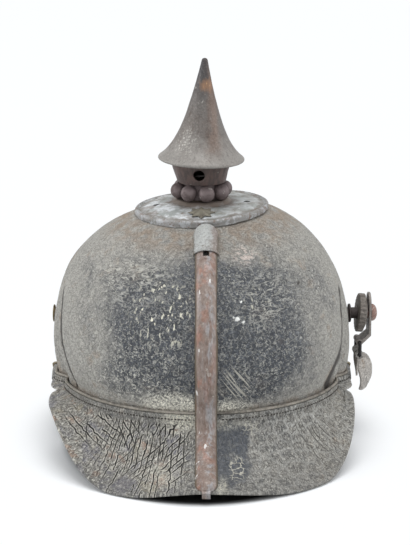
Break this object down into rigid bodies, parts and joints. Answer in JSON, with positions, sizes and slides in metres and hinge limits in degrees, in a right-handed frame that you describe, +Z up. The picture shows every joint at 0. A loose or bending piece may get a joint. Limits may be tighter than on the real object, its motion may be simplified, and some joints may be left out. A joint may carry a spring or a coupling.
{
  "type": "spiked leather helmet",
  "caption": "Leather helmet with a screw-off spike on a pearl ring, a round vented base plate, front visor, neck guard, rear spine with sliding vent cover, and chin strap remains.",
  "frame": {"origin": "on the spike's axis, in the plane the helmet stands on, which is the plane of the head opening's lowest edges", "axes": "+Z up along the spike, -Y to the front of the helmet, +Y to the neck, -X to the wearer's right"},
  "size_m": [0.2108, 0.2906, 0.2485],
  "materials": {
    "skull_leather": "worn, crackled black lacquer with tan dust",
    "guard_leather": "deeply cracked, dusty",
    "visor_leather": "worn lacquer",
    "welt_leather": "dry, worn",
    "rusty_metal": "rust brown with grey streaks",
    "grey_metal": "dull grey, oxidised",
    "pearl_metal": "purple-brown patina",
    "brass_fitting": "dull, tarnished",
    "knob_metal": "reddish brown",
    "rosette_metal": "worn, dusty",
    "strap_leather": "stiff, grey with wear",
    "black_metal": "black",
    "liner_leather": "plain, brown"
  },
  "bodies": {
    "helmet": {"skull": "skull_leather", "neck_guard": "guard_leather", "front_visor": "visor_leather", "visor_trim": "brass_fitting", "rear_welt": "welt_leather", "front_welt": "welt_leather", "rear_spine": "rusty_metal", "spike_base": "grey_metal", "spike_boss": "brass_fitting", "star_stud_rear": "grey_metal", "star_stud_front": "grey_metal", "stud_washers": "brass_fitting", "side_knob": "knob_metal", "knob_washer": "liner_leather", "left_bush": "brass_fitting", "plate_eyelets": "brass_fitting", "sweatband": "liner_leather", "liner_tongues": "liner_leather"},
    "vent_cover": {"vent_slide": "grey_metal"},
    "ring": {"pearl_ring": "pearl_metal"},
    "spike": {"spike": "rusty_metal"},
    "rosette": {"rosette": "rosette_metal"},
    "lug": {"strap_lug": "strap_leather"},
    "strap": {"strap_buckle": "black_metal", "chin_strap": "strap_leather"}
  },
  "joints": [
    {"name": "vent_open", "type": "hinge", "parent": "helmet", "child": "vent_cover", "pos_m": [-0.0028, 0.00991, 0.06855], "axis": [-1, 0, 0], "range_deg": [0, 10.5]},
    {"name": "ring_lift", "type": "slide", "parent": "helmet", "child": "ring", "axis": [0, 0, 1], "range_m": [0, 0.01]},
    {"name": "spike_unscrew", "type": "hinge", "parent": "ring", "child": "spike", "pos_m": [0, 0, 0.19], "axis": [0, 0, 1], "range_deg": [0, 1800]},
    {"name": "rosette_turn", "type": "hinge", "parent": "helmet", "child": "rosette", "pos_m": [-0.0935, -0.0146, 0.0795], "axis": [-0.9954, -0.0959, 0], "continuous": true},
    {"name": "strap_swing", "type": "hinge", "parent": "helmet", "child": "lug", "pos_m": [-0.0935, -0.0146, 0.0795], "axis": [-0.9954, -0.0959, 0], "range_deg": [-60, 60]},
    {"name": "strap_lift", "type": "hinge", "parent": "lug", "child": "strap", "pos_m": [-0.10087, -0.01531, 0.0612], "axis": [-0.0959, 0.9954, 0], "range_deg": [0, 45]}
  ],
  "couplings": [
    {"joint": "spike_unscrew", "follows": "ring_lift", "rad_per_m": 3141.6}
  ]
}
